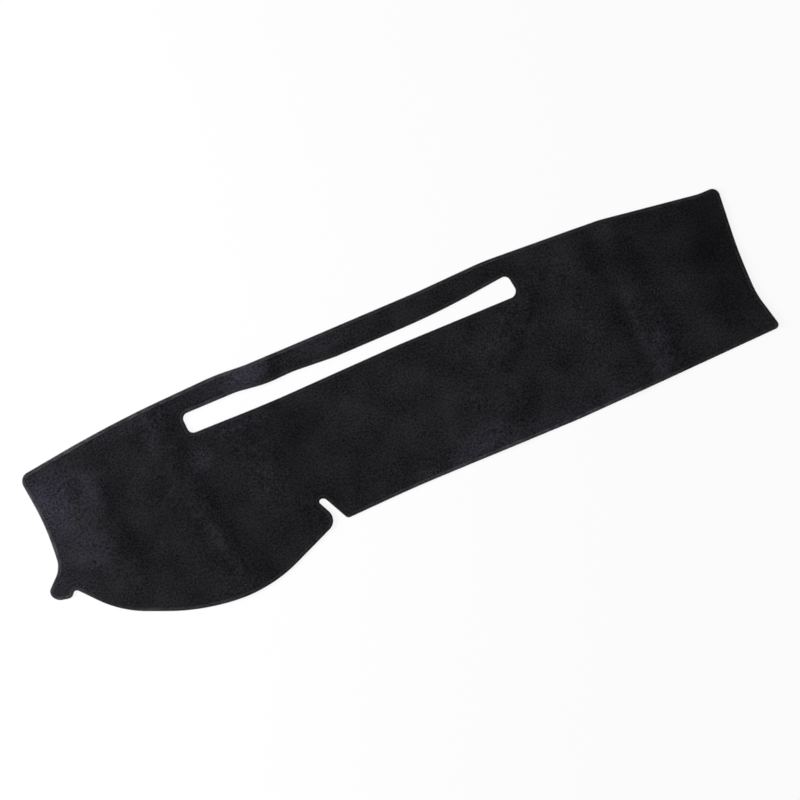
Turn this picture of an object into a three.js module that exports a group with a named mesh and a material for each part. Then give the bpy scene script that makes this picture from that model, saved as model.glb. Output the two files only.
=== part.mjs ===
import * as THREE from 'three';

// Dashboard cover mat: one sheet of black needle-punched felt, cut to the plan of a
// dashboard, with a long slot for the windshield vent and a sewn overlock along every
// cut edge. It lies as it does when unpacked: flat on its back, with its fold ridges.
// Millimetres. x runs along the mat, y towards the windshield and z up.
// In the plan below, x = 0 is midway between the windshield corners and y = 0 is the
// straight part of the rear edge.

// Windshield edge
const matLength = 1462; // left windshield corner to right one
const middleDepth = 346; // rear edge to windshield edge, at the middle
const leftCornerFall = 29; // how far the left corner lies behind the middle
const rightCornerFall = 43;
const leftCornerRound = 20;
const rightCornerRound = 9;
const leftShoulderIn = 233; // from the left corner to where the edge starts to fall away
const rightShoulderIn = 244;
const leftShoulderFall = 2;
const rightShoulderFall = 8;
const shoulderRound = 1400;
const crownRise = 4.5; // the edge swells a little to each side of the middle
const leftCrownSpan = 300; // from x = 0 to the left swell
const rightCrownSpan = 256;
const leftDipSpan = 246; // the level stretch between the swells
const rightDipSpan = 120;
const crownRound = 420;

// Ends
const leftWaistIn = 12.5; // how far the left end is drawn in, and at what height
const leftWaistHeight = 202;
const leftWaistRound = 600;
const rightWaistIn = 12;
const rightWaistHeight = 165;
const rightWaistRound = 900;
const heelWaistIn = 10.5;
const heelWaistHeight = 86.5;
const heelWaistRound = 140;
const heelOut = 8; // the rear right corner points outwards
const heelHeight = 10.5;
const heelRound = 8;

// Rear edge
const rearBendSpan = 369; // from x = 0 to where the edge starts to rise to the heel
const rearBendRound = 560;

// Notch for the steering column shroud, hooked towards the lobe
const notchSpan = 177; // from x = 0 to the notch's right corner
const notchCornerDrop = 2;
const notchCornerRound = 8;
const notchDepth = 56.5;
const notchLean = 29.5; // how far the tip lies left of the right corner
const notchTipWidth = 9;
const notchTipDrop = 11.5;
const notchTipRound = 10;

// Lobe over the instrument cluster
const noseSpan = 193.5; // from x = 0 to the lobe's nose beside the notch
const noseRound = 23;
const lobeDepth = 69; // rear edge to the lobe's lowest line
const lobeRightSpan = 356;
const lobeLeftSpan = 490;
const lobeBottomFall = 4.5; // that line runs uphill to the left
const lobeBottomRound = 440;
const lobeFlankSpan = 649;
const lobeFlankHeight = 1;
const lobeFlankRound = 255;

// Tab beyond the lobe's left end
const tabRootIn = 14.5; // from the left corner's x to the small inner corner
const tabRootHeight = 78;
const tabRootRound = 8;
const tabHeelIn = 4.5;
const tabHeelHeight = 61.5;
const tabHeelRound = 16;
const tabReach = 34; // how far the tab stands out past the left corner
const tabToeHeight = 70;
const tabToeIn = 8; // the toe lies in from the tab's end
const tabToeRound = 22;
const tabTopHeight = 88.5;
const tabTopRound = 14;
const tabNeckIn = 4.5;
const tabNeckHeight = 124;
const tabNeckRound = 45;

// Vent slot
const slotCentre = -49;
const slotLength = 693;
const slotStrip = 40.5; // the felt between the windshield edge and the slot's left end
const slotWidth = 41; // at its left end
const slotEndRound = 12;
const slotRightRise = 4;
const slotRightLean = 6.5; // how far the right end leans back from its rear corner
const slotLeftLean = 2;
const slotFrontSteps = 7.5; // the front side comes nearer in two steps
const slotNeckDip = 12.5;
const slotFirstStep = 117; // from the left end to the start of each step
const slotFirstRun = 57;
const slotSecondStep = 233;
const slotSecondRun = 82;
const slotNeckEnd = 528;
const slotRearBow = 3;
const slotBendRound = 150;
const slotLongRound = 1200;

// Felt and its sewn edge
const feltThickness = 3;
const sewnFeltThickness = 1.2; // pressed flat under the thread
const threadThickness = 0.8; // the thread layer on each face and round the edge
const bandWidth = 6.5; // how far the thread reaches in from the edge
const bandRound = 0.7;
const clearance = 0.3; // between felt and thread

// Facets
const netPitch = 23;
const stationPitch = 22;
const arcStep = THREE.MathUtils.degToRad(20);

// Fold ridges and slack swells, where the felt stands off the surface that it lies on.
// Each has a centre line, drawn towards the rear, and a rise, and runs out over its own
// width to either side.
const pastFront = middleDepth + 34; // where a fold runs out over the windshield edge,
const pastRear = -20; // the rear edge
const pastLobe = -lobeDepth - 21; // or the lobe
const ridges = [
  // left packing fold, with its steep side to the right
  { from: [-440, pastFront], to: [-402, pastLobe], rise: 5.5, left: 95, right: 26 },
  // right packing fold: a swell that ends in a sharp valley, and a lower one beyond it
  { from: [424, pastFront], to: [446, pastRear], rise: 4.2, left: 75, right: 45 },
  { from: [513, pastFront], to: [502, pastRear], rise: 3.4, left: 14, right: 70 },
  // wave that lifts the strip in front of the slot
  { from: [-222, pastFront], to: [-262, middleDepth - 56], rise: 7.5, left: 62, right: 48 },
  // soft fold from the slot's left end towards the notch
  { from: [-312, middleDepth - 84], to: [-262, 60], rise: 3.2, left: 60, right: 30 },
  // slack fold across the right half
  { from: [352, 250], to: [205, 110], rise: 3, left: 34, right: 60 },
  // slack near the left end and along the rear edge
  { from: [-655, 235], to: [-625, 120], rise: 3.6, left: 55, right: 70 },
  { from: [95, 70], to: [60, pastRear], rise: 2.6, left: 50, right: 60 },
];

const slotFront = middleDepth - slotStrip; // front side at the slot's left end
const slotRear = slotFront - slotWidth;
const leftEnd = -matLength / 2;
const rightEnd = matLength / 2;
const sewnFeltBottom = threadThickness + clearance;
const sewnFeltTop = sewnFeltBottom + sewnFeltThickness;
const bandHeight = sewnFeltTop + clearance + threadThickness;
const feltReach = threadThickness + clearance; // from the cut edge's outside to the felt
const fieldReach = bandWidth + clearance; // from there to the felt's full thickness

const corner = (x, y, round) => ({ at: new THREE.Vector2(x, y), round });

// The sheet's outline, anticlockwise from the left windshield corner, so that the felt
// is on the left of each side
function sheetCorners() {
  const notchTip = -notchSpan - notchLean;
  const tabEnd = leftEnd - tabReach;
  return [
    corner(leftEnd, middleDepth - leftCornerFall, leftCornerRound),
    corner(leftEnd + leftWaistIn, leftWaistHeight, leftWaistRound),
    corner(leftEnd + tabNeckIn, tabNeckHeight, tabNeckRound),
    corner(tabEnd, tabTopHeight, tabTopRound),
    corner(tabEnd + tabToeIn, tabToeHeight, tabToeRound),
    corner(leftEnd + tabHeelIn, tabHeelHeight, tabHeelRound),
    corner(leftEnd + tabRootIn, tabRootHeight, tabRootRound),
    corner(-lobeFlankSpan, lobeFlankHeight, lobeFlankRound),
    corner(-lobeLeftSpan, lobeBottomFall - lobeDepth, lobeBottomRound),
    corner(-lobeRightSpan, -lobeDepth, lobeBottomRound),
    corner(-noseSpan, 0, noseRound),
    corner(notchTip - notchTipWidth, notchDepth - notchTipDrop, notchTipRound),
    corner(notchTip, notchDepth, notchTipRound),
    corner(-notchSpan, -notchCornerDrop, notchCornerRound),
    corner(rearBendSpan, 0, rearBendRound),
    corner(rightEnd + heelOut, heelHeight, heelRound),
    corner(rightEnd - heelWaistIn, heelWaistHeight, heelWaistRound),
    corner(rightEnd - rightWaistIn, rightWaistHeight, rightWaistRound),
    corner(rightEnd, middleDepth - rightCornerFall, rightCornerRound),
    corner(rightEnd - rightShoulderIn, middleDepth - rightShoulderFall, shoulderRound),
    corner(rightCrownSpan, middleDepth + crownRise, crownRound),
    corner(rightDipSpan, middleDepth, crownRound),
    corner(-leftDipSpan, middleDepth, crownRound),
    corner(-leftCrownSpan, middleDepth + crownRise, crownRound),
    corner(leftEnd + leftShoulderIn, middleDepth - leftShoulderFall, shoulderRound),
  ];
}

// The slot's outline, clockwise from its left front corner, so that the felt is on the
// left of each side here too
function slotCorners() {
  const left = slotCentre - slotLength / 2;
  const right = slotCentre + slotLength / 2;
  const stepFront = slotFront - slotFrontSteps;
  const neckFront = slotFront - slotNeckDip;
  return [
    corner(left, slotFront, slotEndRound),
    corner(left + slotFirstStep, slotFront, slotBendRound),
    corner(left + slotFirstStep + slotFirstRun, stepFront, slotBendRound),
    corner(left + slotSecondStep, stepFront, slotBendRound),
    corner(left + slotSecondStep + slotSecondRun, neckFront, slotBendRound),
    corner(left + slotNeckEnd, neckFront, slotLongRound),
    corner(right - slotRightLean, slotFront + slotRightRise, slotEndRound),
    corner(right, slotRear, slotEndRound),
    corner(left + slotNeckEnd - slotSecondRun, slotRear + slotRearBow, slotLongRound),
    corner(left + slotFirstStep + slotFirstRun, slotRear - slotRearBow, slotLongRound),
    corner(left + slotLeftLean, slotRear, slotEndRound),
  ];
}

// Stations round a closed outline, each with its point and its normal away from the
// felt. Every corner is a tangent arc, no longer than the sides beside it allow.
function walkOutline(corners) {
  const arcs = corners.map(({ at, round }, i) => {
    const before = corners.at(i - 1).at;
    const after = corners[(i + 1) % corners.length].at;
    const arriving = at.clone().sub(before).normalize();
    const leaving = after.clone().sub(at).normalize();
    const turn = Math.atan2(arriving.cross(leaving), arriving.dot(leaving));
    const slope = Math.tan(Math.abs(turn) / 2);
    const room = Math.min(at.distanceTo(before), at.distanceTo(after)) / 2;
    const tangent = Math.min(round * slope, room);
    const radius = (Math.sign(turn) * tangent) / slope;
    const normal = new THREE.Vector2(arriving.y, -arriving.x);
    const centre = at.clone().addScaledVector(arriving, -tangent).addScaledVector(normal, -radius);
    return { centre, radius, normal, turn };
  });

  const stations = [];
  arcs.forEach(({ centre, radius, normal, turn }, i) => {
    const stepsByAngle = Math.abs(turn) / arcStep;
    const stepsByLength = Math.abs(turn * radius) / stationPitch;
    const steps = Math.ceil(Math.max(stepsByAngle, stepsByLength));
    for (let step = 0; step <= steps; step += 1) {
      const facing = normal.clone().rotateAround(new THREE.Vector2(), (turn * step) / steps);
      stations.push({ at: centre.clone().addScaledVector(facing, radius), facing });
    }
    const last = stations.at(-1);
    const next = arcs[(i + 1) % arcs.length];
    const arrival = next.centre.clone().addScaledVector(next.normal, next.radius);
    const runs = Math.ceil(last.at.distanceTo(arrival) / stationPitch);
    for (let run = 1; run < runs; run += 1) {
      stations.push({ at: last.at.clone().lerp(arrival, run / runs), facing: last.facing });
    }
  });
  return stations.filter(({ at }, i) => at.distanceTo(stations.at(i - 1).at) > clearance);
}

// The same outline moved into the felt by a distance
const inset = (stations, distance) => stations.map(
  ({ at, facing }) => at.clone().addScaledVector(facing, -distance),
);

// How far the felt stands off the surface below it at a point of the plan
function liftAt(point) {
  let lift = 0;
  for (const { from, to, rise, left, right } of ridges) {
    const start = new THREE.Vector2(...from);
    const along = new THREE.Vector2(...to).sub(start);
    const length = along.length();
    along.divideScalar(length);
    const reach = point.clone().sub(start);
    const travel = reach.dot(along);
    const beyond = Math.max(-travel, travel - length, 0);
    const aside = along.cross(reach);
    // the line runs towards the rear, so the felt on its left hand is the one at larger x
    const across = Math.abs(aside) / (aside > 0 ? right : left);
    const away = Math.hypot(across, beyond / Math.max(left, right));
    if (away < 1) {
      lift += (rise * (1 + Math.cos(Math.PI * away))) / 2;
    }
  }
  return lift;
}

// A point of the plan at a height above the felt's own lower face
const raise = (point, height) => new THREE.Vector3(point.x, point.y, liftAt(point) + height);

// Faces between two levels of a rim, facing away from the felt where the second level
// is below the first
function skirt(stations, [insetA, heightA], [insetB, heightB]) {
  const ringA = inset(stations, insetA).map((point) => raise(point, heightA));
  const ringB = inset(stations, insetB).map((point) => raise(point, heightB));
  return ringA.flatMap((a, i) => {
    const next = (i + 1) % ringA.length;
    return [a, ringB[i], ringB[next], a, ringB[next], ringA[next]];
  });
}

const skirts = (stations, levels) => levels.slice(1).flatMap(
  (level, i) => skirt(stations, levels[i], level),
);

// Distance from a point to the nearest side of a closed ring of points
function distanceToRing(point, ring) {
  return Math.min(...ring.map((start, i) => {
    const side = ring[(i + 1) % ring.length].clone().sub(start);
    const reach = point.clone().sub(start);
    const share = THREE.MathUtils.clamp(reach.dot(side) / side.lengthSq(), 0, 1);
    return reach.addScaledVector(side, -share).length();
  }));
}

// Whether a point lies in the felt: inside the outer ring and outside the slot's
function isInside(point, rings) {
  const crossings = rings.flatMap((ring) => ring.filter((start, i) => {
    const end = ring[(i + 1) % ring.length];
    if ((start.y > point.y) === (end.y > point.y)) {
      return false;
    }
    const share = (point.y - start.y) / (end.y - start.y);
    return point.x < start.x + share * (end.x - start.x);
  }));
  return crossings.length % 2 === 1;
}

// Points of a triangular lattice that fills the field between the rings
function latticePoints(rings) {
  const frame = new THREE.Box2().setFromPoints(rings[0]);
  const rowPitch = netPitch * Math.sin(Math.PI / 3);
  const points = [];
  for (let row = 0; frame.min.y + row * rowPitch < frame.max.y; row += 1) {
    const shift = (row % 2) * 0.5;
    for (let column = 0; frame.min.x + column * netPitch < frame.max.x; column += 1) {
      const x = frame.min.x + (column + shift) * netPitch;
      const point = new THREE.Vector2(x, frame.min.y + row * rowPitch);
      const room = Math.min(...rings.map((ring) => distanceToRing(point, ring)));
      if (isInside(point, rings) && room > 0.6 * netPitch) {
        points.push(point);
      }
    }
  }
  return points;
}

// A triangle with the circle through its corners
function withCircle(corners, points) {
  const [a, b, c] = corners.map((i) => points[i]);
  const ab = b.clone().sub(a);
  const ac = c.clone().sub(a);
  const area = 2 * ab.cross(ac);
  const centre = new THREE.Vector2(
    a.x + (ac.y * ab.lengthSq() - ab.y * ac.lengthSq()) / area,
    a.y + (ab.x * ac.lengthSq() - ac.x * ab.lengthSq()) / area,
  );
  return { corners, centre, reach: centre.distanceToSquared(a) };
}

// Triangles that fill the field between the rings, by adding one point at a time and
// renewing the triangles whose circle holds it
function fieldTriangles(rings) {
  const inner = [...rings.flat(), ...latticePoints(rings)];
  const far = 20 * matLength;
  const points = [
    ...inner,
    new THREE.Vector2(-far, -far),
    new THREE.Vector2(far, -far),
    new THREE.Vector2(0, far),
  ];
  const count = inner.length;
  let net = [withCircle([count, count + 1, count + 2], points)];
  inner.forEach((point, i) => {
    const open = new Map();
    const kept = [];
    for (const triangle of net) {
      if (triangle.centre.distanceToSquared(point) > triangle.reach) {
        kept.push(triangle);
      } else {
        triangle.corners.forEach((start, k) => {
          const end = triangle.corners[(k + 1) % 3];
          if (!open.delete(`${end} ${start}`)) {
            open.set(`${start} ${end}`, [start, end]);
          }
        });
      }
    }
    net = kept;
    for (const [start, end] of open.values()) {
      net.push(withCircle([start, end, i], points));
    }
  });
  return net
    .map(({ corners }) => corners.map((i) => points[i]))
    .filter(([a, b, c]) => isInside(a.clone().add(b).add(c).divideScalar(3), rings));
}

function solid(name, vertices, look) {
  const geometry = new THREE.BufferGeometry().setFromPoints(vertices);
  geometry.computeVertexNormals();
  const mesh = new THREE.Mesh(geometry, new THREE.MeshStandardMaterial(look));
  mesh.name = name;
  return mesh;
}

// The felt: full thickness over its field, and pressed to a thin lip along each edge
function feltSheet(outlines) {
  const field = fieldTriangles(outlines.map((stations) => inset(stations, fieldReach)));
  const top = field.flat().map((point) => raise(point, feltThickness));
  const bottom = field.map(([a, b, c]) => [a, c, b]).flat().map((point) => raise(point, 0));
  const rims = outlines.flatMap((stations) => skirts(stations, [
    [fieldReach, feltThickness],
    [fieldReach, sewnFeltTop],
    [feltReach, sewnFeltTop],
    [feltReach, sewnFeltBottom],
    [fieldReach, sewnFeltBottom],
    [fieldReach, 0],
  ]));
  const look = { color: 0x222224, roughness: 1, metalness: 0 };
  return solid('felt_sheet', [...top, ...bottom, ...rims], look);
}

// The overlock: a layer of thread wrapped round the lip, as a channel that holds it
function overlock(name, stations) {
  const band = skirts(stations, [
    [bandWidth, bandHeight],
    [bandRound, bandHeight],
    [0, bandHeight - bandRound],
    [0, bandRound],
    [bandRound, 0],
    [bandWidth, 0],
    [bandWidth, threadThickness],
    [threadThickness, threadThickness],
    [threadThickness, bandHeight - threadThickness],
    [bandWidth, bandHeight - threadThickness],
    [bandWidth, bandHeight],
  ]);
  return solid(name, band, { color: 0x2c2c30, roughness: 0.75, metalness: 0 });
}

const sheetEdge = walkOutline(sheetCorners());
const slotEdge = walkOutline(slotCorners());

const mat = new THREE.Group();
mat.add(feltSheet([sheetEdge, slotEdge]));
mat.add(overlock('edge_overlock', sheetEdge));
mat.add(overlock('slot_overlock', slotEdge));

// The origin is under the middle of the mat's plan
const plan = new THREE.Box2().setFromPoints(sheetEdge.map(({ at }) => at));
const middle = plan.getCenter(new THREE.Vector2());
mat.position.set(-middle.x, -middle.y, 0);

export default mat;
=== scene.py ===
import math
import bpy
import bmesh
import numpy as np
from mathutils import Matrix, Vector


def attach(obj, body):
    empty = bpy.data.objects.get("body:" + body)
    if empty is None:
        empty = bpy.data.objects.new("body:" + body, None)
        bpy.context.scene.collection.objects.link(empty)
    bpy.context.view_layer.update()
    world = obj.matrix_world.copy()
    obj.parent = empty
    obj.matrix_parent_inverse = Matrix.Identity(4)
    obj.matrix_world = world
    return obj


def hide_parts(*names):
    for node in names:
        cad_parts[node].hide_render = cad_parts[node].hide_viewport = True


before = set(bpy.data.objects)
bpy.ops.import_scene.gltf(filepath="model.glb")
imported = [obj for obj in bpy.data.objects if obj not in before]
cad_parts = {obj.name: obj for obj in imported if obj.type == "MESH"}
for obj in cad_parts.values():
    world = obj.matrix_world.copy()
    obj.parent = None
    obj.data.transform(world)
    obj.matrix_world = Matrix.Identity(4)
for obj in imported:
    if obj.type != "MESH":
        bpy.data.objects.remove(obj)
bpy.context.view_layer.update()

# A felt dashboard cover mat that lies flat, seen from straight above.
# The plan is in millimetres: x = 0 is midway between the windshield corners and y = 0
# is the straight part of the rear edge. Everything is made metres when it is placed.

mm = 0.001

matPlan = {
    "bulge": 0.5,   # how far the sewn edge stands out past the cut
    "finePitch": 1.0,
    # corner x, corner y and the radius of its arc, with the felt on the left of each side
    "sheet": [
        (-731.5, 316.5, 19), (-720, 212.5, 600), (-726.5, 124, 49), (-766, 87.5, 15),
        (-756, 68, 25), (-726, 62, 16), (-716.5, 77, 8), (-650.5, 2, 250),
        (-506, -59.5, 450), (-364.5, -71.5, 440), (-194.5, -0.5, 24), (-218, 49.5, 10),
        (-203.5, 50.5, 10), (-176.5, -4, 8), (-31, 0.5, 2920), (309, -2.5, 930),
        (467, 1.5, 560), (738.5, 10, 9), (719.5, 87, 170), (719, 175, 1130),
        (730.5, 307.5, 15), (691, 307.5, 100), (494.5, 336.5, 200), (256.5, 350.5, 480),
        (117, 346, 430), (-246, 345.5, 450), (-305, 350.5, 470), (-525.5, 342.5, 3430)],
    "slot": [
        (-396, 305, 12), (-279.5, 304.5, 120), (-220.5, 296.5, 220), (-164, 298.5, 210),
        (-77, 292.5, 140), (136, 293, 1550), (290, 309, 12), (296.5, 264, 14),
        (45, 266, 1240), (-231.5, 260.5, 2300), (-394, 264, 12)]}


def walkOutline(corners, pitch):   # even points round an outline, with outward normals
    walk = []
    for i, (x, y, radius) in enumerate(corners):
        at = Vector((x, y))
        before = Vector(corners[i - 1][:2])
        after = Vector(corners[(i + 1) % len(corners)][:2])
        arriving = (at - before).normalized()
        leaving = (after - at).normalized()
        turn = math.atan2(arriving.cross(leaving), arriving.dot(leaving))
        slope = math.tan(abs(turn) / 2)
        room = min((at - before).length, (at - after).length) / 2
        tangent = min(radius * slope, room)
        reach = math.copysign(tangent / slope, turn)
        normal = Vector((arriving.y, -arriving.x))
        centre = at - arriving * tangent - normal * reach
        steps = max(4, math.ceil(abs(turn * reach)))
        for step in range(steps + 1):
            facing = Matrix.Rotation(turn * step / steps, 2) @ normal
            walk.append((*(centre + facing * reach), *facing))
    walk = np.array(walk + walk[:1])
    gaps = np.hypot(*np.diff(walk[:, :2], axis=0).T)
    run = np.concatenate([[0], np.cumsum(gaps)])
    stops = np.linspace(0, run[-1], round(run[-1] / pitch), endpoint=False)
    even = np.stack([np.interp(stops, run, column) for column in walk.T], axis=1)
    facing = even[:, 2:] / np.hypot(*even[:, 2:].T)[:, None]
    return even[:, :2] + facing * matPlan["bulge"], facing


fineEdge = walkOutline(matPlan["sheet"], matPlan["finePitch"])[0]
fineSlot = walkOutline(matPlan["slot"], matPlan["finePitch"])[0]
planMiddle = (fineEdge.min(axis=0) + fineEdge.max(axis=0)) / 2

# How the felt stands off the floor
relief = {
    # start, end, rise, spread to the left of the line and to the right
    "ridges": [
        ((-440, 380), (-402, -90), 2.4, 95, 30),
        ((424, 380), (446, -20), 4.2, 75, 45),
        ((492, 150), (489, -20), 3.0, 16, 80),
        ((-186, 380), (-226, 290), 5.5, 100, 36),
        ((-312, 262), (-258, 60), 2.4, 70, 60),
        ((322, 262), (168, 118), 2.4, 60, 26),
        ((-612, 300), (-600, 110), 3.0, 110, 40),
        ((203, 91), (178, -20), 2.8, 95, 60)],
    # soft unevenness all over: height, shortest wave, longest wave and its seed
    "slack": [(0.9, 60, 190, 11), (0.3, 24, 60, 12)],
    "waves": 26,
    "shortWaveShare": 0.6,   # power of a wave's length that gives its share
    "limit": 3}              # sum at which the unevenness levels off


def slackField(x, y, shortest, longest, seed):   # smooth unevenness between 0 and 1
    random = np.random.default_rng(seed)
    total = np.zeros_like(x)
    for _ in range(relief["waves"]):
        length = shortest * (longest / shortest) ** random.random()
        heading = random.random() * 2 * math.pi
        phase = random.random() * 2 * math.pi
        along = (x * math.cos(heading) + y * math.sin(heading)) * 2 * math.pi / length
        total += np.sin(along + phase) * (length / longest) ** relief["shortWaveShare"]
    return 0.5 + 0.5 * np.tanh(total / relief["limit"])


def liftAt(x, y):   # height of the felt's underside, in plan millimetres
    lift = np.zeros_like(x)
    for height, shortest, longest, seed in relief["slack"]:
        lift += height * slackField(x, y, shortest, longest, seed)
    for start, end, rise, left, right in relief["ridges"]:
        along = Vector(end) - Vector(start)
        length = along.length
        along.normalize()
        reachX = x - start[0]
        reachY = y - start[1]
        travel = reachX * along.x + reachY * along.y
        aside = along.x * reachY - along.y * reachX
        beyond = np.maximum(np.maximum(-travel, travel - length), 0)
        across = np.where(aside > 0, aside / right, -aside / left)
        away = np.minimum(np.hypot(across, beyond / max(left, right)), 1)
        lift += rise * (1 + np.cos(math.pi * away)) / 2
    return lift


def placed(x, y, z):   # plan millimetres to the row's metres
    return np.stack([x - planMiddle[0], y - planMiddle[1], z], axis=-1) * mm


# The felt sheet: a fine grid over the field, bordered by rings that follow the cut edge
feltSheet = {
    "grid": 5.0,
    "clearOfRim": 0.75,   # grid points nearer to a rim than this share of a cell are left out
    "edgePitch": 4.0,
    # distance from the seam's outside, underside, nap side: the pressed lip, the step
    # under the needle thread and the full thickness
    "rings": [
        (8.2, 0.0, 3.0),
        (7.2, 0.05, 2.9),
        (6.4, 0.55, 2.5),
        (5.4, 0.8, 2.45),
        (3.0, 0.85, 2.45),
        (1.5, 0.95, 2.35),
        (0.8, 1.35, 1.95)]}


# Marks that make the felt lighter or darker in places. Partly this is the nap's own tone, as on
# felt that was folded in a pack.
# Partly it is painted light and shade: the left end is painted lighter and the right end darker,
# as if lit from the left, with painted shade along the folds. Each mark: centre from the mat's
# middle, half length, half width, turn in degrees, tone
markSlope = 1.7   # how steeply a mark falls off towards its rim
napAndLightMarks = [
    (-676, 100, 100, 46, 84, 0.66), (-640, -8, 58, 50, 0, 0.50), (-588, 112, 56, 32, 60, 0.22),
    (-385, -20, 330, 260, 0, -0.16), (-455, 150, 60, 20, 90, 0.32), (-383, 72, 38, 36, 0, 0.62),
    (-426, 66, 56, 12, 82, -0.14), (-525, -58, 28, 22, 0, 0.24), (-518, 60, 36, 26, 90, 0.12),
    (-240, 184, 62, 30, 4, 0.90), (-292, 103, 62, 16, -5, 0.42), (-292, -10, 66, 42, 78, 0.18),
    (-80, 70, 52, 14, 82, 0.15), (55, 48, 52, 44, 0, 0.15), (190, 55, 74, 24, 0, 0.16),
    (302, 72, 52, 36, 60, 0.14), (122, -112, 84, 34, 18, 0.50), (85, -80, 36, 34, 0, 0.08),
    (522, -82, 66, 28, 76, 0.58), (370, -80, 84, 50, 0, 0.10), (-404, -110, 104, 14, -80, 0.20),
    (-570, 12, 92, 15, -78, -0.06), (-360, -130, 84, 36, -75, -0.10), (-180, 20, 74, 52, 0, -0.10),
    (-120, -100, 92, 42, 0, -0.10), (276, 34, 100, 12, 47, -0.20), (470, 140, 70, 28, 90, -0.18),
    (640, 110, 170, 90, 0, -0.20), (700, 20, 170, 90, 90, -0.24), (640, -30, 70, 50, 0, -0.08),
    (-712, 60, 170, 44, 84, 0.50), (-700, -80, 60, 44, 60, 0.40), (-400, 188, 330, 26, 0, 0.24),
    (220, -128, 340, 20, 0, 0.28), (-90, 186, 120, 22, 0, 0.16),
    (-632, 90, 84, 70, 80, 0.36), (-180, 60, 84, 66, 0, -0.10), (-250, -100, 70, 60, 0, -0.08),
    (690, 60, 110, 60, 90, -0.10), (540, 100, 60, 40, 90, -0.08)]


def toneAt(marks, x, y):   # how much lighter or darker, at metres from the mat's middle
    tone = np.zeros_like(x)
    for centreX, centreY, length, width, turn, strength in marks:
        reachX = x / mm - centreX
        reachY = y / mm - centreY
        cosine = math.cos(math.radians(turn))
        sine = math.sin(math.radians(turn))
        along = (reachX * cosine + reachY * sine) / length
        across = (reachY * cosine - reachX * sine) / width
        away = np.minimum(np.hypot(along, across), 1)
        full = np.minimum(markSlope * (1 - away), 1)
        tone += strength * full * full * (3 - 2 * full)
    return tone


def insideRing(x, y, ring):   # which points lie inside a closed ring
    inside = np.zeros(x.shape, dtype=bool)
    for (startX, startY), (endX, endY) in zip(ring, np.roll(ring, -1, axis=0)):
        if startY != endY:
            crosses = (startY > y) != (endY > y)
            share = (y - startY) / (endY - startY)
            inside ^= crosses & (x < startX + share * (endX - startX))
    return inside


def nearRing(x, y, ring, distance):   # which points lie near a ring's own points
    near = np.zeros(x.shape, dtype=bool)
    for ringX, ringY in ring:
        near |= (x - ringX) ** 2 + (y - ringY) ** 2 < distance ** 2
    return near


def makeFelt():
    mesh = bmesh.new()
    edgeLayer = mesh.verts.layers.float.new("ring")
    outlines = [walkOutline(matPlan[name], feltSheet["edgePitch"]) for name in ("sheet", "slot")]
    outer = feltSheet["rings"][0][0]
    rims = [points - facing * outer for points, facing in outlines]

    low = rims[0].min(axis=0)
    span = rims[0].max(axis=0) - low
    cells = np.ceil(span / feltSheet["grid"]).astype(int)
    middle = low + span / 2
    bmesh.ops.create_grid(
        mesh, x_segments=int(cells[0]), y_segments=int(cells[1]), size=0.5,
        matrix=Matrix.Translation((*middle, 0)) @ Matrix.Diagonal((*span, 1, 1)))
    spots = np.array([v.co[:2] for v in mesh.verts])
    x, y = spots.T
    keep = insideRing(x, y, rims[0]) & ~insideRing(x, y, rims[1])
    for rim in rims:
        keep &= ~nearRing(x, y, rim, feltSheet["clearOfRim"] * feltSheet["grid"])
    drop = [v for v, kept in zip(mesh.verts, keep) if not kept]
    bmesh.ops.delete(mesh, geom=drop, context="VERTS")
    loose = [v for v in mesh.verts if not v.link_faces]
    bmesh.ops.delete(mesh, geom=loose, context="VERTS")
    border = [e for e in mesh.edges if e.is_boundary]

    rimEdges = []
    for rim in rims:
        ring = [mesh.verts.new((*spot, 0)) for spot in rim]
        pairs = zip(ring, ring[1:] + ring[:1])
        rimEdges.append([mesh.edges.new(pair) for pair in pairs])
    filled = bmesh.ops.triangle_fill(
        mesh, use_beauty=True, edges=border + rimEdges[0] + rimEdges[1], normal=(0, 0, 1))
    print(f"felt: {len(filled['geom'])} elements in the border")

    # the lip's rings, each run out from the last one
    for (points, facing), ring in zip(outlines, rimEdges):
        for number, (distance, *_) in enumerate(feltSheet["rings"][1:], 1):
            grown = bmesh.ops.extrude_edge_only(mesh, edges=ring)["geom"]
            verts = [g for g in grown if isinstance(g, bmesh.types.BMVert)]
            ring = [g for g in grown if isinstance(g, bmesh.types.BMEdge)]
            spots = points - facing * feltSheet["rings"][number - 1][0]
            for v in verts:
                nearest = int(np.argmin(np.hypot(*(spots - np.array(v.co[:2])).T)))
                v.co.x, v.co.y = points[nearest] - facing[nearest] * distance
                v[edgeLayer] = number
            ring = [e for e in ring if all(v[edgeLayer] == number for v in e.verts)]

    # the underside is the same net, and the last rings are joined by a wall
    bmesh.ops.recalc_face_normals(mesh, faces=mesh.faces)
    top = bmesh.ops.extrude_face_region(mesh, geom=mesh.faces[:], use_keep_orig=True)["geom"]
    over = {g for g in top if isinstance(g, bmesh.types.BMVert)}
    spots = np.array([v.co[:2] for v in mesh.verts])
    lift = liftAt(*spots.T)
    for v, height in zip(mesh.verts, lift):
        ring = feltSheet["rings"][int(v[edgeLayer])]
        v.co.z = height + (ring[2] if v in over else ring[1])
    bmesh.ops.recalc_face_normals(mesh, faces=mesh.faces)
    for v in mesh.verts:
        v.co = placed(*v.co)
    for face in mesh.faces:
        face.smooth = True
    data = bpy.data.meshes.new("felt")
    mesh.to_mesh(data)
    mesh.free()
    spots = np.array([v.co[:2] for v in data.vertices])
    # the marks' tone: partly the nap's own, partly painted light and painted shade
    napAndLight = data.attributes.new("napAndLight", "FLOAT", "POINT")
    napAndLight.data.foreach_set("value", toneAt(napAndLightMarks, *spots.T))
    piece = bpy.data.objects.new("felt", data)
    bpy.context.scene.collection.objects.link(piece)
    return piece


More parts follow.
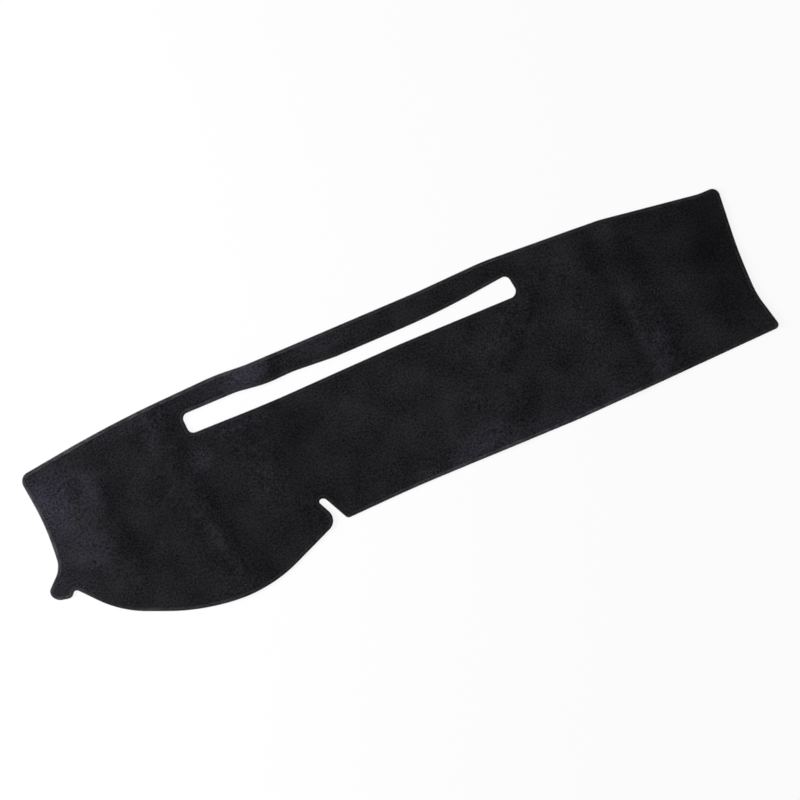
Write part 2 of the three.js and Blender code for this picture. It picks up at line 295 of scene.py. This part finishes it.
# The overlock: three threads that follow the edge, one stitch after another
overlock = {
    "stitch": 3.5,
    "pathPitch": 0.5,
    "scatter": 0.12,
    "scatterUp": 0.3,      # share of the scatter that goes into the height
    "scatterThick": 0.9,   # and into the thread's thickness
    # along the stitch, in from the edge, height: out over the nap side and back
    "upper": [
        (0.00, 6.5, 2.85), (0.25, 5.0, 3.05), (0.45, 2.6, 3.08), (0.6, 0.9, 2.8),
        (0.78, 0.28, 2.15), (1.15, 0.28, 2.15), (1.4, 0.9, 2.8), (1.9, 2.8, 3.08),
        (2.75, 5.2, 3.05), (3.3, 6.4, 2.9)],
    # the same on the underside
    "lower": [
        (1.75, 6.3, 0.5), (2.0, 4.8, 0.42), (2.2, 2.6, 0.42), (2.4, 0.9, 0.55),
        (2.6, 0.25, 1.2), (2.9, 0.25, 1.25), (3.1, 0.9, 0.55), (3.7, 2.8, 0.42),
        (4.5, 5.0, 0.42), (5.05, 6.2, 0.5)],
    # a row of straight stitches along the loops' inner ends
    "needle": [
        (0.15, 6.5, 2.5), (0.55, 6.5, 3.02), (1.75, 6.55, 3.12), (2.95, 6.5, 3.02),
        (3.35, 6.5, 2.5)],
    "radius": {"upper": 0.4, "lower": 0.4, "needle": 0.33},
    "seed": 5}


# Painted light on the thread: painted highlights along the left end, the lobe, the windshield edge
# and the rear edge, where the seam faces the lamp, and painted shade at the right end and along
# the slot, in the terms of the nap's marks
threadLightMarks = [
    (-690, 150, 190, 190, 0, 2.6), (-360, 205, 420, 60, 0, 1.9), (240, 205, 330, 50, 0, 0.5),
    (-710, -40, 120, 60, 90, 2.2), (-520, -185, 170, 50, -12, 0.8), (220, -143, 380, 40, 0, 1.8),
    (738, 110, 120, 30, 90, -0.4), (130, 140, 250, 40, 0, -0.25)]


def makeThread(name, outline, kind):
    points, facing = walkOutline(matPlan[outline], overlock["pathPitch"])
    length = np.hypot(*(np.roll(points, -1, axis=0) - points).T).sum()
    stitches = round(length / overlock["stitch"])
    pattern = np.array(overlock[kind])
    random = np.random.default_rng(overlock["seed"] + len(name))
    along = np.arange(stitches)[:, None] * overlock["stitch"] + pattern[:, 0]
    along = along / overlock["stitch"]
    along = (along / stitches * len(points)) % len(points)
    scatter = random.normal(0, overlock["scatter"], (stitches, len(pattern), 3))
    index = along.ravel()
    first = np.floor(index).astype(int) % len(points)
    second = (first + 1) % len(points)
    share = (index - np.floor(index))[:, None]
    spot = points[first] * (1 - share) + points[second] * share
    away = facing[first] * (1 - share) + facing[second] * share
    inward = np.tile(pattern[:, 1], stitches) + scatter[..., 1].ravel()
    inward = np.maximum(inward, pattern[:, 1].min())
    spot = spot - away * inward[:, None]
    height = np.tile(pattern[:, 2], stitches) + overlock["scatterUp"] * scatter[..., 2].ravel()
    where = placed(spot[:, 0], spot[:, 1], height + liftAt(*spot.T))

    curve = bpy.data.curves.new(name, "CURVE")
    curve.dimensions = "3D"
    curve.bevel_depth = overlock["radius"][kind] * mm
    curve.bevel_resolution = 1
    spline = curve.splines.new("POLY")
    spline.points.add(len(where) - 1)
    spline.points.foreach_set("co", np.c_[where, np.ones(len(where))].ravel())
    thick = 1 + overlock["scatterThick"] * scatter[..., 0].ravel()
    spline.points.foreach_set("radius", thick)
    spline.use_cyclic_u = True
    maker = bpy.data.objects.new(name, curve)
    bpy.context.scene.collection.objects.link(maker)
    swept = maker.evaluated_get(bpy.context.evaluated_depsgraph_get())
    data = bpy.data.meshes.new_from_object(swept)
    bpy.data.objects.remove(maker)
    bpy.data.curves.remove(curve)
    data.name = name
    spots = np.array([v.co[:2] for v in data.vertices])
    # painted highlights and painted shade along the thread
    paintedLight = data.attributes.new("paintedLight", "FLOAT", "POINT")
    paintedLight.data.foreach_set("value", toneAt(threadLightMarks, *spots.T))
    data.polygons.foreach_set("use_smooth", [True] * len(data.polygons))
    piece = bpy.data.objects.new(name, data)
    bpy.context.scene.collection.objects.link(piece)
    print(f"{name}: {stitches} stitches, {len(data.polygons)} faces")
    return piece


feltLook = {
    "dark": (0.0030, 0.0030, 0.0034, 1),
    "light": (0.0215, 0.0213, 0.0232, 1),
    "fibre": (0.050, 0.050, 0.055, 1),
    "raisedAndLit": (1.0, 0.93, 1.30),   # what raised nap and painted light add to each colour
    "mottle": {"Scale": 270, "Detail": 4, "Roughness": 0.6},
    "cloud": {"Scale": 14, "Detail": 3, "Roughness": 0.5},
    "mottleShare": 0.75,
    "spread": {"From Min": 0.39, "From Max": 0.61},
    # the fibres: how far each lay is turned and moved, and how long and thin they are
    "lays": [(0.5, 3.0), (-0.9, 9.0), (1.5, 21.0)],
    "stretch": (150, 900, 600),
    "strand": {"Scale": 1, "Detail": 2, "Distortion": 0.6},
    "thin": {"From Min": 0.62, "From Max": 0.72},
    "fibreShare": 0.35,
    "blotch": {"Scale": 17, "Detail": 2, "Roughness": 0.55, "Distortion": 0.4},
    "patchy": {"From Min": 0.3, "From Max": 0.7, "To Min": 0.94, "To Max": 1.06},
    "fibreHeight": 0.4,
    "bump": {"Strength": 0.7, "Distance": 0.0014},
    "surface": {
        "Roughness": 1.0, "Specular IOR Level": 0.02, "Sheen Weight": 0.03,
        "Sheen Roughness": 0.6, "Sheen Tint": (0.8, 0.85, 1, 1)}}

threadLook = {
    "dark": (0.007, 0.007, 0.008, 1),
    "light": (0.036, 0.036, 0.040, 1),
    "grain": {"Scale": 1500, "Detail": 3},
    "patch": {"Scale": 60, "Detail": 2},
    "spread": {"From Min": 0.75, "From Max": 1.25},
    "bump": {"Strength": 0.4, "Distance": 0.0003},
    "surface": {
        "Roughness": 0.55, "Specular IOR Level": 0.22, "Sheen Weight": 0.1,
        "Sheen Roughness": 0.4}}


def nodeTree(name):
    material = bpy.data.materials.new(name)
    material.use_nodes = True
    tree = material.node_tree
    tree.nodes.clear()
    return material, tree


def wire(tree, kind, inputs=None, **settings):   # a node with its settings and its inputs
    node = tree.nodes.new(kind)
    for key, value in settings.items():
        setattr(node, key, value)
    for key, value in (inputs or {}).items():
        if isinstance(value, bpy.types.NodeSocket):
            tree.links.new(value, node.inputs[key])
        else:
            node.inputs[key].default_value = value
    return node


def maths(tree, operation, *values):   # one sum on numbers or other nodes' outputs
    return wire(tree, "ShaderNodeMath", dict(enumerate(values)), operation=operation).outputs[0]


def noise(tree, vector, settings):
    return wire(tree, "ShaderNodeTexNoise", {"Vector": vector, **settings}).outputs["Fac"]


def remap(tree, value, settings):
    return wire(tree, "ShaderNodeMapRange", {"Value": value, **settings}).outputs[0]


def blend(tree, share, first, second):
    inputs = {"Factor": share, "A": first, "B": second}
    return wire(tree, "ShaderNodeMix", inputs, data_type="RGBA").outputs["Result"]


def attribute(tree, name):
    made = wire(tree, "ShaderNodeAttribute", attribute_name=name, attribute_type="GEOMETRY")
    return made.outputs["Fac"]


def feltMaterial():
    look = feltLook
    material, tree = nodeTree("felt")
    place = wire(tree, "ShaderNodeTexCoord").outputs["Object"]
    mottle = noise(tree, place, look["mottle"])
    cloud = noise(tree, place, look["cloud"])
    tone = maths(tree, "MULTIPLY", mottle, look["mottleShare"])
    tone = maths(tree, "MULTIPLY_ADD", cloud, 1 - look["mottleShare"], tone)
    ground = blend(tree, remap(tree, tone, look["spread"]), look["dark"], look["light"])

    # long fibres lie every way: stretched noises, one across the other
    fibres = None
    for turn, moved in look["lays"]:
        laid = wire(tree, "ShaderNodeMapping", {
            "Vector": place, "Rotation": (0, 0, turn), "Location": (moved, moved, 0),
            "Scale": look["stretch"]}).outputs[0]
        thin = remap(tree, noise(tree, laid, look["strand"]), look["thin"])
        fibres = maths(tree, "MAXIMUM", fibres, thin) if fibres else thin
    fleck = maths(tree, "MULTIPLY", fibres, look["fibreShare"])
    colour = blend(tree, fleck, ground, look["fibre"])

    # where the marks lighten, the felt turns lighter and a little bluer, partly raised nap and
    # partly painted light from the lamp's side; where they darken, it is partly laid nap and
    # partly painted shade
    napAndLight = attribute(tree, "napAndLight")
    patchy = remap(tree, noise(tree, place, look["blotch"]), look["patchy"])
    raisedAndLit = maths(tree, "MAXIMUM", napAndLight, 0.0)
    laid = maths(tree, "MINIMUM", napAndLight, 0.0)
    base = maths(tree, "ADD", laid, patchy)
    lay = wire(tree, "ShaderNodeVectorMath", {
        0: raisedAndLit, 1: look["raisedAndLit"], 2: base}, operation="MULTIPLY_ADD").outputs[0]
    colour = wire(tree, "ShaderNodeVectorMath", {0: colour, 1: lay}, operation="MULTIPLY")

    height = maths(tree, "MULTIPLY_ADD", fibres, look["fibreHeight"], mottle)
    bump = wire(tree, "ShaderNodeBump", {"Height": height, **look["bump"]})
    surface = wire(tree, "ShaderNodeBsdfPrincipled", {
        "Base Color": colour.outputs["Vector"], "Normal": bump.outputs[0], **look["surface"]})
    wire(tree, "ShaderNodeOutputMaterial", {"Surface": surface.outputs[0]})
    return material


def threadMaterial():
    look = threadLook
    material, tree = nodeTree("overlockThread")
    place = wire(tree, "ShaderNodeTexCoord").outputs["Object"]
    grain = noise(tree, place, look["grain"])
    tone = maths(tree, "ADD", grain, noise(tree, place, look["patch"]))
    colour = blend(tree, remap(tree, tone, look["spread"]), look["dark"], look["light"])
    # painted highlights and painted shade scale the thread's colour
    paintedLight = maths(tree, "ADD", attribute(tree, "paintedLight"), 1.0)
    colour = wire(tree, "ShaderNodeVectorMath", {0: colour, "Scale": paintedLight}, operation="SCALE")
    bump = wire(tree, "ShaderNodeBump", {"Height": grain, **look["bump"]})
    surface = wire(tree, "ShaderNodeBsdfPrincipled", {
        "Base Color": colour.outputs["Vector"], "Normal": bump.outputs[0], **look["surface"]})
    wire(tree, "ShaderNodeOutputMaterial", {"Surface": surface.outputs[0]})
    return material


felt = makeFelt()
print(f"felt: {len(felt.data.polygons)} faces")
felt.data.materials.append(feltMaterial())
threads = {
    outline: [
        makeThread(f"{outline}_{kind}_thread", outline, kind)
        for kind in ("upper", "lower", "needle")]
    for outline in ("sheet", "slot")}
threadFinish = threadMaterial()
for outline, node in (("sheet", "edge_overlock"), ("slot", "slot_overlock")):
    for thread in threads[outline]:
        thread.data.materials.append(threadFinish)
        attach(thread, "root")
        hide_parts(node)
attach(felt, "root")
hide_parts("felt_sheet")

# Studio
studio = {
    "floorSize": 14.0,
    "floorWhite": (0.93, 0.93, 0.93, 1),
    "floorDrop": 0.0002,      # keeps the floor off the mat's underside
    "floorGlow": 0.85,        # share of the floor's white that the camera sees in any light
    "skyColour": (1.0, 1.0, 0.98, 1),
    "sky": 0.38,
    "backdrop": (1, 1, 1, 1),
    # name, watts, size, place and tint
    "lamps": [
        ("keyLamp", 345, (1.6, 1.2), (-4.3, 1.0, 1.5), (0.95, 0.94, 1.0)),
        ("topLamp", 20, (3.0, 3.0), (0.4, 1.2, 3.6), (1, 1, 1))]}


def floorMaterial():
    material, tree = nodeTree("floor")
    seen = wire(tree, "ShaderNodeLightPath").outputs
    direct = maths(tree, "MAXIMUM", seen["Is Camera Ray"], seen["Is Glossy Ray"])
    direct = maths(tree, "MAXIMUM", direct, seen["Is Transmission Ray"])
    share = maths(tree, "MULTIPLY", direct, studio["floorGlow"])
    white = wire(tree, "ShaderNodeBsdfDiffuse", {"Color": studio["floorWhite"]})
    glow = wire(tree, "ShaderNodeEmission", {"Color": studio["backdrop"], "Strength": 1.0})
    mixed = wire(tree, "ShaderNodeMixShader", {0: share, 1: white.outputs[0], 2: glow.outputs[0]})
    wire(tree, "ShaderNodeOutputMaterial", {"Surface": mixed.outputs[0]})
    return material


def makeFloor():
    mesh = bmesh.new()
    bmesh.ops.create_grid(mesh, x_segments=1, y_segments=1, size=studio["floorSize"] / 2)
    bmesh.ops.translate(mesh, verts=mesh.verts, vec=(0, 0, -studio["floorDrop"]))
    data = bpy.data.meshes.new("floor")
    mesh.to_mesh(data)
    mesh.free()
    floor = bpy.data.objects.new("floor", data)
    bpy.context.scene.collection.objects.link(floor)
    floor.data.materials.append(floorMaterial())


def makeLamp(name, power, size, place, tint):   # an area lamp that faces the mat's middle
    light = bpy.data.lights.new(name, "AREA")
    light.color = tint
    light.energy = power
    light.shape = "RECTANGLE"
    light.size, light.size_y = size
    lamp = bpy.data.objects.new(name, light)
    lamp.location = place
    lamp.rotation_euler = (-Vector(place)).to_track_quat("-Z", "Y").to_euler()
    bpy.context.scene.collection.objects.link(lamp)


def makeWorld():   # an even sky that lights the mat, and white where the camera sees it
    world = bpy.data.worlds.new("studio")
    world.use_nodes = True
    tree = world.node_tree
    tree.nodes.clear()
    seen = wire(tree, "ShaderNodeLightPath").outputs["Is Camera Ray"]
    light = wire(tree, "ShaderNodeBackground", {
        "Color": studio["skyColour"], "Strength": studio["sky"]})
    white = wire(tree, "ShaderNodeBackground", {"Color": studio["backdrop"], "Strength": 1.0})
    mixed = wire(tree, "ShaderNodeMixShader", {0: seen, 1: light.outputs[0], 2: white.outputs[0]})
    wire(tree, "ShaderNodeOutputWorld", {"Surface": mixed.outputs[0]})
    bpy.context.scene.world = world


# The picture: its size, where the mat's plan centre falls and how far the mat is turned
picture = {
    "pixels": 800,
    "matX": 396.2, "matY": 415.6,
    "mmPerPixel": 1.9334,
    "turn": math.radians(23.0),
    "height": 4.2}


def makeCamera():
    camera = bpy.data.cameras.new("camera")
    width = picture["pixels"] * picture["mmPerPixel"] * mm
    camera.lens = camera.sensor_width * picture["height"] / width
    right = Vector((math.cos(picture["turn"]), -math.sin(picture["turn"]), 0))
    up = Vector((math.sin(picture["turn"]), math.cos(picture["turn"]), 0))
    half = picture["pixels"] / 2
    aside = (half - picture["matX"]) * picture["mmPerPixel"] * mm
    above = (picture["matY"] - half) * picture["mmPerPixel"] * mm
    eye = bpy.data.objects.new("camera", camera)
    eye.location = right * aside + up * above + Vector((0, 0, picture["height"]))
    eye.rotation_euler = (0, 0, -picture["turn"])
    bpy.context.scene.collection.objects.link(eye)
    bpy.context.scene.camera = eye


makeFloor()
makeWorld()
for lamp in studio["lamps"]:
    makeLamp(*lamp)
makeCamera()
bpy.context.scene.view_settings.view_transform = "Standard"
print("studio and camera made")
